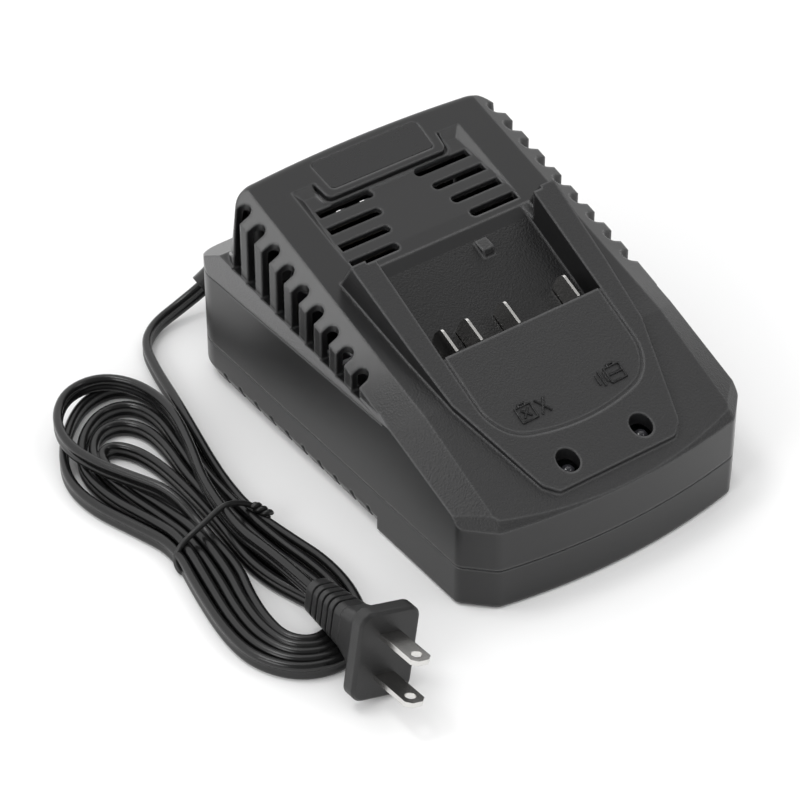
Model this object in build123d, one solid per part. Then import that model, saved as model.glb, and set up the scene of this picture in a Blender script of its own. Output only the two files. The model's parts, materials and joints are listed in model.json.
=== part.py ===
from build123d import *
import math
import os

os.makedirs("parts", exist_ok=True)

# Sizes are in millimetres. Distances called "behind" run back from the line
# through the two front corners of the housing, and z runs up from the table.

# housing plan
body_width = 100.0
body_depth = 144.0
front_bow = 5.4
bow_chord = 1.0
corner_cut = 8.3
corner_radius = 3.5
back_radius = 12.0
back_bow = 1.5
wall = 2.4
fit_gap = 0.2
half_width = body_width / 2
front_line = -(body_depth - front_bow) / 2

# lower housing
foot_height = 1.0
floor_thick = 2.4
tray_floor = foot_height + floor_thick
edge_in = 2.2
edge_up = 4.5
edge_start = 46.5
parting_z = 13.9
reveal = 0.45
lip_height = 1.6
lip_thick = 1.0

# sloping top of the upper housing
fold_behind = 34.9
fold_z = 45.95
front_slope = 0.446
rear_slope = 0.2837
nose_bevel_z = 28.05
nose_bevel_angle = 32.4
facet_in = 8.3
facet_slope = 0.2777
facet_rows = ((-8.0, 0.0, 0.335), (fold_behind, 0.48, 0.548), (63.0, 0.0, 0.488), (160.0, 0.0, 0.465))

# ledge, rim and shelf round the foot of the tower
ledge_z = 41.8
ledge_drop = 0.028
ledge_lean = 0.2
ledge_line = 0.45
rim_start = 44.0
rim_z = 41.9
rim_rise = 0.0735
shelf_edge_z = 39.4
shelf_rise = 0.58
tower_foot = 44.0
tower_set = 13.5
tower_narrow = 2.2
tower_lean = 0.18
tower_radius = 10.5
top_round = 2.0

# battery shoe
shoe_z = 48.36
shoe_slope = 0.468
shoe_half = 36.0
shoe_front = 0.9
shoe_edge = 0.5
rail_inner = 28.0
rail_back = 78.3
rail_foot = 83.5
platform_back = 45.5
bed_z = 60.0
bed_slope = 0.442
groove_front = 15.0
groove_bow = 5.4
groove_corner = 13.0
groove_width = 0.9
groove_depth = 0.5
lug_x = (7.5, 11.5)
lug_behind = (73.2, 78.2)
lug_height = 2.5
lug_lean = 1.1

# recess with the top vents, and the tongue that reaches into it
recess_half = 30.0
recess_start = 87.4
recess_back = 116.7
recess_z = 60.9
recess_slope = 0.218
recess_run = 1.6
recess_floor = 1.8
top_vent_count = 4
top_vent_width = 3.0
top_vent_pitch = 6.75
top_vent_inner = (12.8, -1.73)
top_vent_outer = (29.4, -0.83)
tongue_half = (21.0, 22.4)
tongue_front = 110.4
tongue_radius = 2.0
tongue_gap = 0.8
bead_width = 0.7
bead_height = 0.5
plate_half = (18.2, 18.9)
plate_front = 112.6
plate_back = 123.3
plate_thick = 0.5
plate_gap = 0.1

# vents of the side and back walls
side_vent_count = 9
side_vent_pitch = 7.72
side_vent_last = 118.85
side_vent_width = 4.3
side_vent_reach = 7.3
side_vent_step = 0.33
low_vent_count = 10
low_vent_pitch = 8.2
low_vent_last = 124.6
low_vent_width = 2.3
low_vent_top = 6.5
low_vent_reach = 6.0
back_vent_count = 10
back_vent_pitch = 8.7
back_vent_width = 3.2
back_vent_z = (28.5, 36.5)

# lamps
well_x = 12.97
well_behind = 7.3
well_radius = 3.5
led_radius = 2.8
led_top = 33.4
led_base = 24.0

# contact blades
blade_x = (-22.6, -14.0, -0.7, 20.5)
blade_thick = 0.8
blade_slit = 0.2
slit_behind = (49.8, 57.7)

# bosses, screws and feet
boss_in = 13.0
boss_behind = (15.0, body_depth - 22.0)
boss_radius = 3.6
screw_radius = 1.5
head_radius = 2.9
head_height = 2.2
head_z = 5.8
lower_boss_radius = 4.8
foot_in = 12.0
foot_behind = (32.0, body_depth - 38.0)
foot_radius = 6.0
foot_seat = 0.6

# circuit board
board_z = 10.6
board_thick = 1.6
board_in = 7.0
board_behind = (10.0, body_depth - 18.0)
board_half = half_width - board_in
sink_face = board_half - 10.0
clamp_behind = (body_depth - 13.0, body_depth - 8.0)
carrier_screw_x = (-8.0, 12.0)
post_in = 11.0
post_behind = (46.0, 100.0)
post_radius = 3.0

# mains cord, its strain relief and its plug
cord_radius = 2.8
gland_x = -22.0
gland_z = 19.5
gland_radius = 3.9
gland_flange = 5.4
gland_length = 6.0
lead_points = (
    (-22.0, 130.0, 19.5),
    (-22.0, 159.0, 19.5),
    (-33.0, 160.5, 10.0),
    (-43.0, 161.5, 5.0),
    (-53.0, 160.0, 3.1),
    (-60.5, 153.5, 2.9),
    (-64.2, 141.0, 2.9),
    (-67.0, 126.0, 2.9),
    (-70.6, 110.0, 2.9),
    (-74.0, 96.0, 2.9),
    (-76.6, 84.5, 2.9),
)
tail_points = (
    (-87.2, 62.0, 8.0),
    (-85.9, 49.0, 9.3),
    (-85.3, 37.0, 9.8),
    (-85.05, 25.34, 10.03),
)
hank_height = 8.0
low_hank_height = 6.2
waist_width = 31.0
tie_behind = 68.5
tie_width = 1.6
tie_thick = 0.8
plug_face = (-86.45, -9.23, 15.25)
plug_axis = (-0.040, -0.988, 0.149)
plug_side = (0.9676, -0.0766, -0.244)
plug_width = 19.0
plug_height = 27.0
plug_slab = 4.5
plug_round = 4.0
neck_length = 12.0
neck_wide = (12.5, 20.0)
neck_thin = (9.8, 13.2)
relief_length = 18.5
relief_end = (8.0, 10.4)
relief_grooves = 5
relief_pitch = 2.8
relief_groove = (0.9, 0.9)
pin_spacing = 12.7
pin_width = 6.35
pin_thick = 1.5
pin_length = 16.5
pin_corner = 1.6
pin_hole = 1.6
pin_hole_in = 3.6


def y_at(behind):
    return front_line + behind


def rear_z(behind):
    return fold_z + rear_slope * (behind - fold_behind)


def shoe_top(behind):
    return shoe_z + shoe_slope * (behind - fold_behind)


def slope_plane(behind, z, slope):
    """Plane along x that rises to the back by slope."""
    normal = Vector(0, -slope, 1)
    return Plane(origin=(0, y_at(behind), z), x_dir=(1, 0, 0), z_dir=normal)


def below(solid, plane):
    return split(solid, bisect_by=plane, keep=Keep.BOTTOM)


def above(solid, plane):
    return split(solid, bisect_by=plane, keep=Keep.TOP)


def between(low_plane, high_plane, solid):
    return above(below(solid, high_plane), low_plane)


def plan_of(points):
    """Flat face from pairs of x and distance behind the front corners."""
    return make_face(Polyline([(x, y_at(behind)) for x, behind in points], close=True))


def both_sides(right_side):
    """Closed list of points from those of the right side, front to back."""
    return right_side + [(-x, behind) for x, behind in reversed(right_side)]


def block(x_range, behind_range, z_range):
    """Upright block given by its limits."""
    low = (x_range[0], y_at(behind_range[0]), z_range[0])
    high = (x_range[1], y_at(behind_range[1]), z_range[1])
    size = [b - a for a, b in zip(low, high)]
    middle = [(a + b) / 2 for a, b in zip(low, high)]
    return Pos(*middle) * Box(*size)


def pin(x, behind, radius, z_low, z_high):
    """Upright cylinder."""
    height = z_high - z_low
    return Pos(x, y_at(behind), z_low + height / 2) * Cylinder(radius, height)


def rod(start, end, radius):
    """Straight round rod between two points."""
    run = Vector(*end) - Vector(*start)
    return extrude(Plane(origin=start, z_dir=run) * Circle(radius), run.length)


def in_pairs(shapes):
    """The shapes and their mirror images on the other side of the housing."""
    return [*shapes, *[mirror(shape, about=Plane.YZ) for shape in shapes]]


def boss_places():
    return [(side * (half_width - boss_in), behind) for side in (1, -1) for behind in boss_behind]


def post_places():
    return [(side * (half_width - post_in), behind) for side in (1, -1) for behind in post_behind]


def foot_places():
    return [(side * (half_width - foot_in), behind) for side in (1, -1) for behind in foot_behind]


# ------------------------------------------------------------ housing plans
def front_edges(inset):
    """Bowed front edge and the two corner cuts beside it."""
    side = half_width - corner_cut - inset * math.tan(math.radians(22.5))
    half = half_width - inset
    cut = corner_cut + inset * math.tan(math.radians(22.5))
    middle = (0, y_at(bow_chord - front_bow + inset))
    front = ThreePointArc((-side, y_at(inset)), middle, (side, y_at(inset)))
    return front, (side, inset), (half, cut)


def base_outline(inset=0.0, z=0.0):
    """Plan of the whole housing at the parting line."""
    front, corner, flank = front_edges(inset)
    half = half_width - inset
    radius = back_radius - inset
    back = body_depth - back_bow - inset
    arc = radius * (1 - math.sqrt(0.5))
    cut_right = Line((corner[0], y_at(corner[1])), (flank[0], y_at(flank[1])))
    right = Line((half, y_at(flank[1])), (half, y_at(back - radius)))
    corner_right = ThreePointArc(
        (half, y_at(back - radius)),
        (half - arc, y_at(back - arc)),
        (half - radius, y_at(back)),
    )
    rear_middle = (0, y_at(body_depth - inset))
    rear = ThreePointArc((half - radius, y_at(back)), rear_middle, (radius - half, y_at(back)))
    left_side = [mirror(edge, about=Plane.YZ) for edge in (corner_right, right, cut_right)]
    edges = [front, cut_right, right, corner_right, rear, *left_side]
    face = make_face(Wire([edge.edge() for edge in edges]))
    corners = [v for v in face.vertices() if v.Y < y_at(corner_cut + 2)]
    return Pos(0, 0, z) * fillet(corners, corner_radius - inset)


def nose_outline(inset=0.0):
    """Front edge of the plan with its corner cuts run far out to the sides."""
    front, corner, _ = front_edges(inset)
    far = body_width
    points = [corner, (corner[0] + far, corner[1] + far), (corner[0] + far, 2 * body_depth)]
    points = [(x, y_at(behind)) for x, behind in both_sides(points)]
    runs = [Line(a, b) for a, b in zip(points, points[1:])]
    face = make_face(Wire([front.edge(), *[run.edge() for run in runs]]))
    if inset:
        return face
    corners = [v for v in face.vertices() if v.Y < y_at(1)]
    return fillet(corners, corner_radius)


def tower_half(behind):
    """Half the width of the tower's foot."""
    run = body_depth - tower_set - tower_radius - rim_start
    return half_width - tower_narrow * (behind - rim_start) / run


def tower_outline(inset=0.0):
    """Plan of the tower at its foot."""
    back = body_depth - tower_set - inset
    radius = tower_radius - inset
    half = tower_half(body_depth - tower_set - tower_radius) - inset
    arc = radius * (1 - math.sqrt(0.5))
    nose = Line((inset - half_width, y_at(rim_start)), (half_width - inset, y_at(rim_start)))
    right = Line((half_width - inset, y_at(rim_start)), (half, y_at(back - radius)))
    corner_right = ThreePointArc(
        (half, y_at(back - radius)), (half - arc, y_at(back - arc)), (half - radius, y_at(back))
    )
    rear = ThreePointArc((half - radius, y_at(back)), (0, y_at(back + back_bow)), (radius - half, y_at(back)))
    left_side = [mirror(edge, about=Plane.YZ) for edge in (corner_right, right)]
    return make_face(Wire([edge.edge() for edge in (nose, right, corner_right, rear, *left_side)]))


# ------------------------------------------------------------- upper housing
def facet_cutter(side, drop):
    """Room above the twisted facet along one side of the top."""
    sections = []
    for behind, skew, cross in facet_rows:
        slope = front_slope if behind < fold_behind else facet_slope
        inner_z = fold_z - drop + slope * (behind - fold_behind)
        outline = []
        for run, is_low in ((-4.0, True), (20.0, True), (20.0, False), (-4.0, False)):
            x = half_width - facet_in + run
            z = inner_z - cross * run if is_low else 3 * fold_z
            outline.append((side * x, y_at(behind + skew * run), z))
        sections.append(make_face(Polyline(outline, close=True)))
    return loft(sections, ruled=True)


def rim_room():
    """Room round the tower above the rim."""
    plan = base_outline(-2.0) - tower_outline()
    plan = plan & (Pos(0, y_at(rim_start + body_depth / 2)) * Rectangle(2 * body_width, body_depth))
    return above(extrude(plan, 2 * fold_z), slope_plane(rim_start, rim_z, rim_rise))


def upper_form(inset, bottom, soft_edge=False):
    """Outer form of the upper housing without the shoe, shrunk by inset."""
    form = extrude(base_outline(inset, bottom), fold_z)
    for side in (1, -1):
        lean = Plane(
            origin=(side * (half_width - inset), y_at(rim_start), ledge_z - inset),
            x_dir=(0, 1, -ledge_drop),
            z_dir=(side, ledge_drop * ledge_lean, ledge_lean),
        )
        form = below(form, lean)
    form = below(form, slope_plane(body_depth - back_bow, shelf_edge_z - inset, -shelf_rise))
    if not inset:
        form = form - rim_room()
    tower = extrude(Pos(0, 0, tower_foot) * tower_outline(inset), fold_z, dir=Vector(0, -tower_lean, 1))
    tower = below(tower, slope_plane(fold_behind, fold_z - inset, rear_slope))
    if soft_edge:
        rim = [e for e in tower.edges() if e.center().Y > y_at(rim_start + 60) and e.center().Z > 60]
        rim = [e for e in rim if abs(e.tangent_at(0.5).Z) < 0.75]
        tower = fillet(rim, top_round)
    form = form + tower
    nose = extrude(nose_outline(inset), nose_bevel_z - inset / 2)
    nose += extrude(Pos(0, 0, nose_bevel_z - inset / 2) * nose_outline(inset), 22, taper=nose_bevel_angle)
    behind_nose = block((-body_width, body_width), (20, 2 * body_depth), (0, 3 * fold_z))
    form = form & (nose + behind_nose)
    form = below(form, slope_plane(fold_behind, fold_z - inset, front_slope))
    form = below(form, slope_plane(fold_behind, fold_z - inset, rear_slope))
    for side in (1, -1):
        form = form - facet_cutter(side, inset)
    return form


def shoe_form():
    """Raised island with two rails; its outline is that of its top edge."""
    right_side = [
        (20.5, shoe_front),
        (24.2, shoe_front + 3.3),
        (shoe_half - 2.3, fold_behind - 1.5),
        (shoe_half - 1.0, 52.0),
        (shoe_half, rail_back),
        (shoe_half + 0.6, rail_foot + 6),
    ]
    plan = plan_of(both_sides(right_side))
    front_corners = [v for v in plan.vertices() if v.Y < y_at(10)]
    plan = fillet(front_corners, 2.6)
    form = extrude(Pos(0, 0, parting_z + 10) * plan, 60)
    form = below(form, slope_plane(fold_behind, shoe_z, shoe_slope))
    back_normal = Vector(0, shoe_top(rail_back) - rear_z(rail_foot), rail_foot - rail_back)
    back_at = (0, y_at(rail_back), shoe_top(rail_back))
    form = below(form, Plane(origin=back_at, x_dir=(1, 0, 0), z_dir=back_normal))
    top = form.faces().sort_by(Axis.Z)[-1]
    return chamfer(top.edges().filter_by(lambda e: abs(e.tangent_at(0.5).X) < 0.99), shoe_edge)


def bed_pocket():
    """Room between the rails, down to the sloping contact bed."""
    room = block((-rail_inner, rail_inner), (platform_back, 110), (30, 90))
    return above(room, slope_plane(rail_foot, bed_z, bed_slope))


def tongue(grow=0.0):
    """Upright prism on the tongue's outline, which can be grown."""
    low, high = tongue_half
    front = tongue_front - grow
    right_side = [(low + grow, front), (high + grow, recess_back + 3)]
    plan = plan_of(both_sides(right_side))
    plan = fillet([v for v in plan.vertices() if v.Y < y_at(front + 1)], tongue_radius + grow)
    return extrude(Pos(0, 0, 30) * plan, 60)


def recess_plane(rise=0.0):
    return slope_plane(recess_start, recess_z + rise, recess_slope)


def recess_pocket():
    """Shallow recess with sloping walls, a beaded gap runs round the tongue."""
    room = block((-recess_half - 1, recess_half + 1), (recess_start - 10, recess_back + 1), (40, 90))
    room = above(room, recess_plane())
    for side in (1, -1):
        foot = (side * recess_half, y_at(fold_behind), fold_z)
        normal = (-side / recess_run, -rear_slope, 1)
        room = above(room, Plane(origin=foot, x_dir=(0, 1, rear_slope), z_dir=normal))
    room = above(room, slope_plane(recess_back, rear_z(recess_back), rear_slope + 1 / recess_run))
    bead = below(tongue(tongue_gap + bead_width) - tongue(tongue_gap), recess_plane(bead_height))
    gap = tongue(tongue_gap) - tongue()
    gap = gap & block((-recess_half, recess_half), (tongue_front - 2, recess_back), (30, 90))
    gap = above(gap, recess_plane(-recess_floor / 3))
    return room - tongue() - bead + gap


def platform_outline(shrink=0.0):
    """Plan inside the groove of the platform, its front is a wide arc."""
    half = rail_inner - shrink
    back = platform_back + 2
    ends = groove_front + groove_bow + shrink
    front = ThreePointArc(
        (-half, y_at(ends)), (0, y_at(groove_front + shrink)), (half, y_at(ends))
    )
    sides = [Line((s * half, y_at(ends)), (s * half, y_at(back))) for s in (1, -1)]
    rear = Line((-half, y_at(back)), (half, y_at(back)))
    plan = make_face(Wire([edge.edge() for edge in (front, *sides, rear)]))
    corners = [v for v in plan.vertices() if v.Y < y_at(back - 1)]
    return fillet(corners, groove_corner - shrink)


def platform_groove():
    """Shallow groove that runs round the platform inside its edge."""
    ring = extrude(Pos(0, 0, 25) * (platform_outline() - platform_outline(groove_width)), 60)
    return above(ring, slope_plane(fold_behind, shoe_z - groove_depth, shoe_slope))


def slot(inner, outer, behind, width, z_low, height):
    """Upright slot along x with a round inner end."""
    middle = (inner + width / 2 + outer) / 2
    plan = Pos(middle, y_at(behind)) * Rectangle(outer - inner - width / 2, width)
    plan += Pos(inner + width / 2, y_at(behind)) * Circle(width / 2)
    return extrude(Pos(0, 0, z_low) * plan, height)


def side_vents():
    """Slots across the facets, down the walls of the tower to its rim."""
    cuts = []
    for n in range(side_vent_count):
        behind = side_vent_last - n * side_vent_pitch
        inner = half_width - side_vent_reach + n * side_vent_step
        low = rim_z + rim_rise * (behind - rim_start) - 0.2
        cuts.append(slot(inner, half_width + 12, behind, side_vent_width, low, 40))
    return in_pairs(cuts)


def top_vents():
    """Slots in each half of the recess."""
    cuts = []
    for n in range(top_vent_count):
        behind = recess_start + n * top_vent_pitch
        inner = top_vent_inner[0] + n * top_vent_inner[1]
        outer = top_vent_outer[0] + n * top_vent_outer[1]
        cuts.append(slot(inner, outer, behind, top_vent_width, recess_z - 8, 30))
    return in_pairs(cuts)


def back_vents():
    """Upright slots below the shelf of the back wall."""
    cuts = []
    low, high = back_vent_z
    half = back_vent_width / 2
    for n in range(back_vent_count):
        x = (n - (back_vent_count - 1) / 2) * back_vent_pitch
        cut = block((x - half, x + half), (body_depth - 8, body_depth + 3), (low + half, high - half))
        for z in (low + half, high - half):
            end = rod((x, y_at(body_depth - 8), z), (x, y_at(body_depth + 3), z), half)
            cut = cut + end
        cuts.append(cut)
    return cuts


def shadow_lines():
    """Reveal along the parting line and fine line under the ledge."""
    ring = base_outline(-1.0, parting_z) - base_outline(reveal, parting_z)
    parting = extrude(ring, reveal)
    ring = base_outline(-1.0, 30) - base_outline(ledge_line, 30)
    band = extrude(ring, 30) & block((-80, 80), (rim_start, body_depth + 5), (30, 60))
    line = between(
        slope_plane(rim_start, ledge_z - 1.5 * ledge_line, -ledge_drop),
        slope_plane(rim_start, ledge_z - 0.5 * ledge_line, -ledge_drop),
        band,
    )
    return parting, line


def plate_slab(gap=0.0):
    """Inlay of the tongue, or with a gap the pocket that it lies in."""
    low, high = plate_half
    right_side = [(low + gap, plate_front - gap), (high + gap, plate_back + gap)]
    plan = plan_of(both_sides(right_side))
    plan = fillet(plan.vertices(), 1.5)
    slab = extrude(Pos(0, 0, 55) * plan, 30)
    return above(slab, slope_plane(fold_behind, fold_z - plate_thick, rear_slope))


def lug():
    """Small ramped stop on the bed, leaning back at its front."""
    low, high = lug_behind
    foot = [bed_z - 1 + bed_slope * (behind - rail_foot) for behind in lug_behind]
    points = [
        (low, foot[0]),
        (low, foot[0] + 1),
        (low + lug_lean, foot[0] + 1 + lug_height),
        (high, foot[1] + 1 + 0.4 * lug_height),
        (high, foot[1]),
    ]
    profile = make_face(Polyline([(y_at(behind), z) for behind, z in points], close=True))
    side = Plane(origin=(lug_x[0], 0, 0), x_dir=(0, 1, 0), z_dir=(1, 0, 0))
    return extrude(side * profile, lug_x[1] - lug_x[0])


def upper_room():
    """Hollow of the upper housing, with its walls and screw bosses left out."""
    room = upper_form(wall, parting_z)
    under_bed = block(
        (-rail_inner - wall, rail_inner + wall), (platform_back - wall, recess_start + 5), (20, 90)
    )
    room = room - above(under_bed, slope_plane(rail_foot, bed_z - wall, bed_slope))
    under_recess = block(
        (-recess_half - 2, recess_half + 2), (rail_foot, recess_back + wall), (40, 90)
    )
    room = room - above(under_recess, recess_plane(-recess_floor))
    for x, behind in boss_places():
        room = room - pin(x, behind, boss_radius, parting_z, 90)
    return room


def upper_shell():
    upper = upper_form(0, parting_z, soft_edge=True)
    upper = upper + shoe_form()
    upper = upper - bed_pocket() - recess_pocket() - upper_room()
    lip_outer = base_outline(wall - lip_thick - fit_gap, parting_z)
    lip_ring = lip_outer - base_outline(wall + 0.01, parting_z)
    upper = upper - extrude(lip_ring, lip_height + fit_gap)
    for cut in (*side_vents(), *top_vents(), *back_vents(), *shadow_lines()):
        upper = upper - cut
    upper = upper - platform_groove() - plate_slab(plate_gap)
    for side in (1, -1):
        upper = upper - pin(side * well_x, well_behind, well_radius, 20, 60)
    for x, behind in boss_places():
        upper = upper - pin(x, behind, screw_radius, parting_z - 1, parting_z + 14)
    for x in blade_x:
        half = blade_thick / 2 + blade_slit
        upper = upper - block((x - half, x + half), slit_behind, (38, 49))
    return upper + lug()


# ------------------------------------------------------------- lower housing
def tray_form():
    """Lower half as a solid; its bottom edge is bevelled along the vents."""
    plain = extrude(base_outline(0, foot_height), parting_z - foot_height)
    bottom = plain.faces().sort_by(Axis.Z)[0]
    bevelled = chamfer(bottom.edges(), edge_in, edge_up, reference=bottom)
    rear = block((-body_width, body_width), (edge_start, body_depth + 5), (-5, 2 * parting_z))
    return (plain - rear) + (bevelled & rear)


def low_vents():
    """Short slots with round tops in the lower edge of both sides."""
    cuts = []
    half = low_vent_width / 2
    inner = half_width - low_vent_reach
    outer = half_width + 5
    for n in range(low_vent_count):
        behind = low_vent_last - n * low_vent_pitch
        crown_z = low_vent_top - half
        cut = block((inner, outer), (behind - half, behind + half), (0, crown_z))
        cuts.append(cut + rod((inner, y_at(behind), crown_z), (outer, y_at(behind), crown_z), half))
    return in_pairs(cuts)


def lower_tray():
    lower = tray_form() - extrude(base_outline(wall, tray_floor), parting_z)
    lip = extrude(base_outline(wall - lip_thick, parting_z - 0.5), lip_height + 0.5)
    lower = lower + (lip - extrude(base_outline(wall, parting_z - 1), lip_height + 2))
    for x, behind in boss_places():
        lower = lower + pin(x, behind, lower_boss_radius, foot_height, parting_z)
    for x, behind in post_places():
        lower = lower + pin(x, behind, post_radius, foot_height + 1, board_z - board_thick)
    for x, behind in boss_places():
        lower = lower - pin(x, behind, head_radius + fit_gap, 0, head_z)
        lower = lower - pin(x, behind, screw_radius + fit_gap, 0, parting_z + 1)
    for x, behind in post_places():
        lower = lower - pin(x, behind, 1.2, tray_floor + 1, parting_z)
    for x, behind in foot_places():
        lower = lower - pin(x, behind, foot_radius, 0, foot_height + foot_seat)
    for cut in low_vents():
        lower = lower - cut
    return lower


# ------------------------------------------------------------ contact blades
def blade(x):
    """Upright contact blade that stands in the bed behind the platform."""
    points = [
        (platform_back + 0.3, 53.4),
        (53.3, 56.4),
        (55.8, 53.6),
        (57.3, 49.8),
        (57.4, 44.0),
        (54.0, 40.0),
        (50.0, 39.2),
        (50.0, 46.4),
        (platform_back + 0.3, 44.2),
    ]
    profile = Plane.YZ * make_face(Polyline([(y_at(b), z) for b, z in points], close=True))
    soft = [v for v in profile.vertices() if v.Z > 53.5 and v.Y > y_at(50)]
    profile = fillet(soft, 1.4)
    return extrude(Pos(x - blade_thick / 2, 0, 0) * profile, blade_thick)


def contact_block():
    """Carrier that hangs below the bed and holds the contact blades."""
    form = block((-27, 25), (48.5, 60), (25, 60))
    form = between(
        slope_plane(rail_foot, bed_z - wall - 6, bed_slope),
        slope_plane(rail_foot, bed_z - wall, bed_slope),
        form,
    )
    for shape in blades:
        form = form - shape
    for x in carrier_screw_x:
        form = form - pin(x, 54, 1.2, 30, 60)
    return form


# ------------------------------------------------- strain relief, cord, plug
def gland_rod(start, length, radius, taper=0):
    """Round rod on the axis of the cord exit, start runs back from the wall."""
    origin = (gland_x, y_at(body_depth) + start, gland_z)
    circle = Plane(origin=origin, x_dir=(1, 0, 0), z_dir=(0, 1, 0)) * Circle(radius)
    return extrude(circle, length, taper=taper)


def bend_radii(points):
    """Bend radius that fits the two runs next to each inner point."""
    radii = []
    for a, b, c in zip(points, points[1:], points[2:]):
        before = Vector(*b) - Vector(*a)
        after = Vector(*c) - Vector(*b)
        half_turn = math.radians(before.get_angle(after)) / 2
        shorter = min(before.length, after.length)
        radii.append(round(min(0.45 * shorter / math.tan(max(half_turn, 0.01)), 200.0), 2))
    return radii


def cord_tube(points):
    """Round tube along the given points of a cord."""
    shifted = [(x, y_at(behind), z) for x, behind, z in points]
    radii = bend_radii(shifted)
    path = FilletPolyline(*shifted, radius=radii)
    start = Plane(origin=path @ 0, z_dir=path % 0)
    tube = sweep(start * Circle(cord_radius), path=path)
    print("cord run", round(path.length, 1), "bend radii", radii)
    print("cord volume share", round(tube.volume / (math.pi * cord_radius**2 * path.length), 4))
    return tube


def hank_form():
    """Bundle of cord turns: two flattened lobes and the waist between them."""
    upper_lobe = Pos(-90.5, y_at(110.5)) * Rot(0, 0, -9) * Ellipse(20, 39.5)
    lower_lobe = Pos(-90.8, y_at(38)) * Rot(0, 0, -3) * Ellipse(20.5, 32.5)
    waist = Pos(-90, y_at(71)) * Rectangle(waist_width, 30)
    return extrude(upper_lobe + waist, hank_height) + extrude(lower_lobe, low_hank_height)


def tie_loop(grow):
    """Rounded block across the waist of the hank, as thick as the tie is wide."""
    centre = (-90, y_at(tie_behind), (hank_height + tie_thick) / 2)
    middle = Plane(origin=centre, x_dir=(1, 0, 0), z_dir=(0, 1, 0))
    height = hank_height - tie_thick + 2 * grow
    plan = RectangleRounded(waist_width + 2 * grow, height, 2.4 + grow)
    return extrude(middle * plan, tie_width / 2, both=True)


def tie_form():
    """Wire tie bent round the waist of the hank, its ends twisted together."""
    band = tie_loop(tie_thick) - tie_loop(0)
    twist = rod((-74.6, y_at(tie_behind), 5.0), (-69.0, y_at(tie_behind - 2), 7.5), 0.9)
    return band + twist


def plug_section(size, distance, corner):
    """Flat rounded rectangle across the plug, at a distance from its face."""
    return plug_front.offset(-distance) * RectangleRounded(*size, corner)


def plug_form():
    slab = extrude(plug_section((plug_width, plug_height), 0, plug_round), -plug_slab)
    face = min(slab.faces(), key=lambda f: (f.center() - plug_front.origin).length)
    slab = chamfer(face.edges(), 0.8)
    neck = loft([
        plug_section(neck_wide, plug_slab, 3.0),
        plug_section(neck_thin, plug_slab + neck_length, 3.0),
    ])
    return slab + neck


def relief_form():
    """Grooved sleeve on the cord behind the plug's neck."""
    start = plug_slab + neck_length
    sleeve = loft([
        plug_section(neck_thin, start, 3.0),
        plug_section(relief_end, start + relief_length, 3.0),
    ])
    width, depth = relief_groove
    for n in range(relief_grooves):
        distance = start + relief_length - 3 - n * relief_pitch
        core = (relief_end[0] + 0.05 * n - depth, relief_end[1] + 0.2 * n - depth)
        ring = plug_front.offset(-distance) * Rectangle(30, 30)
        ring = ring - plug_section(core, distance, 2.4)
        sleeve = sleeve - extrude(ring, width)
    return sleeve


def plug_pin(side):
    """Flat plug pin with a hole near its bevelled tip."""
    foot = plug_front * Pos(0, side * pin_spacing / 2, 0)
    bar = extrude(foot * Rectangle(pin_width, pin_thick), pin_length)
    short = [e for e in bar.edges() if abs(e.length - pin_thick) < 0.01]
    short = sorted(short, key=lambda e: (e.center() - plug_front.origin).dot(plug_front.z_dir))
    bar = chamfer(short[-2:], pin_corner)
    hole_at = foot * Pos(0, 0, pin_length - pin_hole_in) * Rot(90, 0, 0)
    return bar - hole_at * Cylinder(pin_hole, 4)


# ------------------------------------------------------------- electric parts
def circuit_board():
    form = block((-board_half, board_half), board_behind, (board_z - board_thick, board_z))
    for x, behind in boss_places():
        form = form - pin(x, behind, lower_boss_radius + 2 * fit_gap, 5, 20)
    for x, behind in post_places():
        form = form - pin(x, behind, 1.5, 5, 20)
    return form


def heat_sink(side):
    """Upright plate with five fins on the outer side."""
    face, back = sink_face, sink_face + 3
    sink = block((face, back), (56, 86), (board_z, board_z + 26))
    for n in range(5):
        behind = 58 + 6.5 * n
        sink += block((back - 1, back + 4.5), (behind - 0.8, behind + 0.8), (board_z, board_z + 26))
    return sink if side > 0 else mirror(sink, about=Plane.YZ)


def tab_device(side):
    """Three-legged power device flat against the inner face of a heat sink."""
    face = sink_face
    body = block((face - 4.4, face), (67, 77), (board_z + 5, board_z + 14))
    body += block((face - 1.3, face), (67, 77), (board_z + 13, board_z + 20))
    for n in (-1, 0, 1):
        leg = (72 + 2.54 * n - 0.4, 72 + 2.54 * n + 0.4)
        body += block((face - 2.8, face - 2.0), leg, (board_z, board_z + 6))
    return body if side > 0 else mirror(body, about=Plane.YZ)


def transformer():
    """Core with two windows, and the winding round its middle leg."""
    base = board_z + 5
    core = block((-15, 19), (69, 83), (board_z, board_z + 28))
    core = core - block((-9, -4), (60, 90), (base, base + 18))
    core = core - block((8, 13), (60, 90), (base, base + 18))
    winding = block((-9, 13), (63, 89), (base, base + 18))
    winding = fillet(winding.edges().filter_by(Axis.Z), 4)
    return core, winding - core


def mains_fuse():
    tube = rod((-35, y_at(91.5), board_z + 2.8), (-17, y_at(91.5), board_z + 2.8), 2.6)
    for x in (-34.0, -18.0):
        tube = tube + block((x - 0.8, x + 0.8), (89.4, 93.6), (board_z, board_z + 4))
    return tube


def cord_clamp():
    """Bar across the cord behind its exit, and the screws that hold it."""
    height = gland_z + 6
    form = block((gland_x - 10, gland_x + 10), clamp_behind, (tray_floor, height))
    form = form - gland_rod(-25, 20, cord_radius)
    screws = []
    middle = sum(clamp_behind) / 2
    for x in (gland_x - 6.5, gland_x + 6.5):
        form = form - pin(x, middle, 1.3, 9, 40)
        screws.append(pin(x, middle, 1.3, 12, height) + pin(x, middle, 2.3, height, height + 1.6))
    return form, screws


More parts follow.
